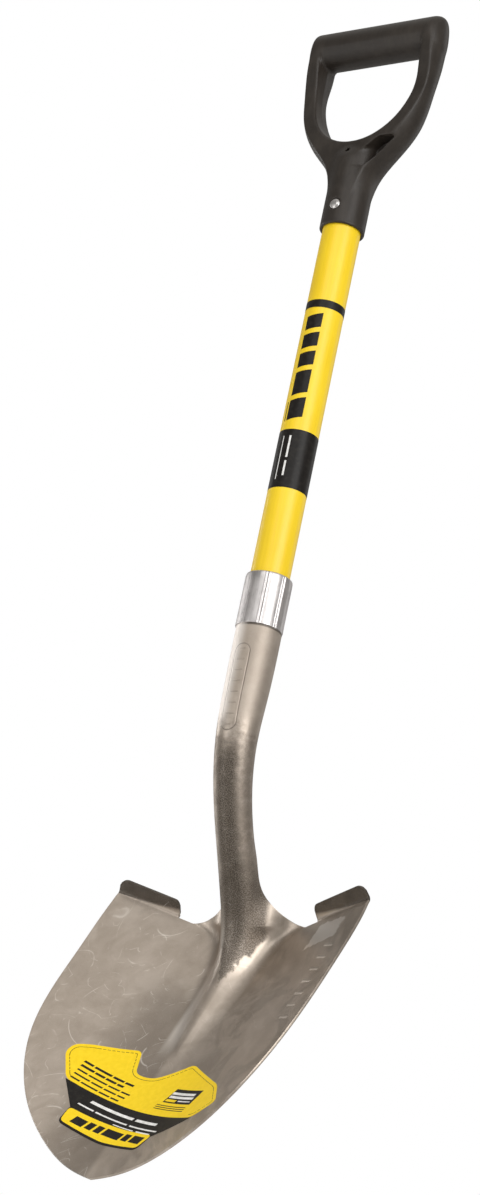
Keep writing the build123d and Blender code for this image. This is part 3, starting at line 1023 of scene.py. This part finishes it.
def grip_look():
    look = Look("grip_plastic_look", Specular_IOR_Level=0.36)
    grain = look.noise(look.place, 1500, 3.0, 0.6)
    cloudy = look.noise(look.place, 40, 4.0, 0.55, 0.4)
    wear = look.noise(look.stretch(look.place, (300, 300, 80)), 1.0, 4.0, 0.6)
    colour = look.colour(look.total(look.times(cloudy, 0.6), look.times(wear, 0.4)),
                         (0.34, (0.020, 0.0155, 0.012)), (0.50, (0.026, 0.0205, 0.016)),
                         (0.66, (0.036, 0.029, 0.023)))
    rough = look.total(0.30, look.times(cloudy, 0.18), look.times(grain, 0.06))
    return look.finish(colour, rough, look.total(grain, look.times(wear, 0.8)), 0.00006)


def shaft_look():
    look = Look("shaft_fibreglass_look", Coat_Weight=0.1, Coat_Roughness=0.25)
    fibres = look.noise(look.stretch(look.place, (1600, 1600, 14)), 1.0, 4.0, 0.6)
    cloudy = look.noise(look.place, 22, 3.0, 0.5)
    colour = look.colour(look.total(look.times(fibres, 0.6), look.times(cloudy, 0.4)),
                         (0.36, (0.88, 0.595, 0.009)), (0.50, (0.92, 0.635, 0.011)),
                         (0.64, (0.95, 0.670, 0.015)))
    rough = look.total(0.30, look.times(cloudy, 0.12), look.times(fibres, 0.06))
    return look.finish(colour, rough, fibres, 0.00004)


def film_look(name, dark, middle, light, roughness):
    """Printed film: slight mottling, worn specks and an orange-peel surface."""
    look = Look(name, Specular_IOR_Level=0.2)
    mottle = look.noise(look.place, 260, 4.0, 0.6)
    peel = look.noise(look.place, 900, 2.0, 0.5)
    colour = look.colour(mottle, (0.34, dark), (0.50, middle), (0.66, light))
    rough = look.total(roughness, look.times(mottle, 0.12))
    return look.finish(colour, rough, peel, 0.00003)


def core_look():
    look = Look("core_fibreglass_look")
    fibres = look.noise(look.stretch(look.place, (1200, 1200, 20)), 1.0, 5.0, 0.65)
    colour = look.colour(fibres, (0.3, (0.42, 0.39, 0.28)), (0.5, (0.62, 0.58, 0.45)),
                         (0.7, (0.75, 0.72, 0.60)))
    return look.finish(colour, look.total(0.5, look.times(fibres, 0.2)), fibres, 0.0001)


def wood_look():
    look = Look("plug_wood_look")
    bent = look.warped(look.stretch(look.place, (1, 1, 0.12)), 30, 0.01)
    rings = look.node("ShaderNodeTexWave", {"Vector": bent, "Scale": 130, "Distortion": 2.5},
                      wave_type="RINGS", rings_direction="Z")
    pores = look.noise(look.stretch(look.place, (1500, 1500, 60)), 1.0, 4.0, 0.6)
    colour = look.colour(look.total(look.times(rings.outputs["Fac"], 0.6), look.times(pores, 0.4)),
                         (0.25, (0.33, 0.19, 0.09)), (0.5, (0.47, 0.29, 0.15)), (0.8, (0.60, 0.41, 0.23)))
    return look.finish(colour, look.total(0.55, look.times(pores, 0.2)), pores, 0.00012)


# ---- assembly
def place(obj, slot_name, *nodes):
    if nodes:
        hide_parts(*nodes)
    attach(obj, "root")


def repaint(node, material):
    """Carried-over CAD node: same mesh, procedural finish."""
    mesh = frame["nodes"][node].data
    if mesh.materials:
        for i in range(len(mesh.materials)):
            mesh.materials[i] = material
    else:
        mesh.materials.append(material)


steel = steel_look()
bright = bright_look("collar_metal_look", (0.60, 0.575, 0.565), 0.36)
zinc = bright_look("rivet_steel_look", (0.66, 0.64, 0.62), 0.30)
plastic = grip_look()
yellow_film = film_look("label_yellow_look", (0.92, 0.640, 0.012), (0.95, 0.665, 0.014),
                        (0.98, 0.690, 0.020), 0.26)
black_film = film_look("print_black_look", (0.008, 0.007, 0.006), (0.011, 0.009, 0.008),
                       (0.018, 0.016, 0.013), 0.30)
white_film = film_look("print_white_look", (0.70, 0.69, 0.66), (0.82, 0.81, 0.79), (0.92, 0.91, 0.90), 0.34)

place(make_blade(steel), "blade_steel", "blade")
place(make_grip(plastic), "grip_plastic", "d_grip")
place(make_collar(bright), "collar_metal", "collar")
place(make_rivet(zinc), "rivet_steel", "grip_rivet")
bands, bars, lines = make_shaft_print(black_film, white_film)
place(bands, "film_black", "shaft_film")
place(bars, "film_black")
place(lines, "film_black")
label_yellow, label_black, label_white = make_label(yellow_film, black_film, white_film)
place(label_yellow, "film_label", "blade_film")
place(label_black, "film_label")
place(label_white, "film_label")
repaint("shaft_tube", shaft_look())
repaint("core_sleeve", core_look())
repaint("top_plug", wood_look())

# ---- studio: pale floor, soft light, the photo's camera
FORWARD = Vector((-0.56303, 0.75225, 0.34223)).normalized()
RIGHT = Vector((0.82569, 0.52959, 0.19432))
RIGHT = (RIGHT - FORWARD * RIGHT.dot(FORWARD)).normalized()
UP = RIGHT.cross(FORWARD)
CAMERA_AT = Vector((1.27045, -1.73038, -1.27712))
MIDDLE = Vector((0, -0.01, -0.5))
FLOOR_Z = -1.9


def facing(position, right, up, back):
    matrix = Matrix((right, up, back)).transposed().to_4x4()
    matrix.translation = position
    return matrix


def softbox(name, along_right, along_up, towards_camera, width, height, power):
    """Area light placed in the camera's directions from the middle of the shovel, and turned to face it."""
    position = MIDDLE + RIGHT * along_right + UP * along_up - FORWARD * towards_camera
    light = bpy.data.lights.new(name, "AREA")
    light.shape = "RECTANGLE"
    light.size, light.size_y = width, height
    light.energy = power
    obj = bpy.data.objects.new(name, light)
    back = (position - MIDDLE).normalized()
    side = UP.cross(back).normalized()
    obj.matrix_world = facing(position, side, back.cross(side), back)
    bpy.context.scene.collection.objects.link(obj)


def make_studio():
    scene = bpy.context.scene
    camera = bpy.data.objects.new("camera", bpy.data.cameras.new("camera"))
    scene.collection.objects.link(camera)
    camera.matrix_world = facing(CAMERA_AT, RIGHT, UP, -FORWARD)
    camera.data.lens = 87.6
    camera.data.sensor_width = 36
    camera.data.clip_end = 60
    scene.camera = camera
    scene.view_settings.view_transform = "Standard"

    floor_look = Look("floor_look")
    floor_grain = floor_look.noise(floor_look.place, 3.0, 4.0)
    floor_look.finish(floor_look.colour(floor_grain, (0.3, (0.80, 0.80, 0.80)), (0.7, (0.86, 0.86, 0.86))),
                      floor_look.total(0.7, floor_look.times(floor_grain, 0.1)))
    half = 15000
    corners = [(-half, -half), (half, -half), (half, half), (-half, half)]
    floor = add_mesh("floor", [(x, y, FLOOR_Z / MM) for x, y in corners], [(0, 1, 2, 3)],
                     floor_look.material, smooth=False)

    scene.world = bpy.data.worlds.new("studio")
    scene.world.use_nodes = True
    sky = Nodes(scene.world.node_tree)
    # white to the camera; what the metal reflects goes by height, with dark flags at mid height
    height = sky.split(sky.node("ShaderNodeTexCoord").outputs["Generated"])[2]
    level = sky.node("ShaderNodeMapRange", {0: height, 1: -1.0}).outputs[0]
    greys = ((0, 0.30), (0.55, 0.36), (0.665, 0.40), (0.725, 0.20), (0.8, 0.20), (0.875, 0.50), (0.96, 0.78))
    shade = sky.colour(level, *((position, (grey, 0.975 * grey, 0.94 * grey)) for position, grey in greys))
    seen = sky.node("ShaderNodeLightPath").outputs["Is Camera Ray"]
    sky.put(sky.tree.nodes["Background"].inputs[0], sky.mixed(seen, shade, (1, 1, 1)))

    for light in (("key_right", 1.2, 0.9, 1.5, 1.3, 1.8, 30), ("fill_left", -1.9, 0.3, 1.0, 0.9, 2.0, 9),
                  ("top_front", -0.3, 1.9, 1.3, 1.6, 0.8, 10), ("rim_left", -1.5, -0.2, -1.3, 0.5, 2.0, 10),
                  ("rim_right", 1.5, 0.2, -1.4, 0.4, 2.0, 2.5)):
        softbox(*light)


make_studio()
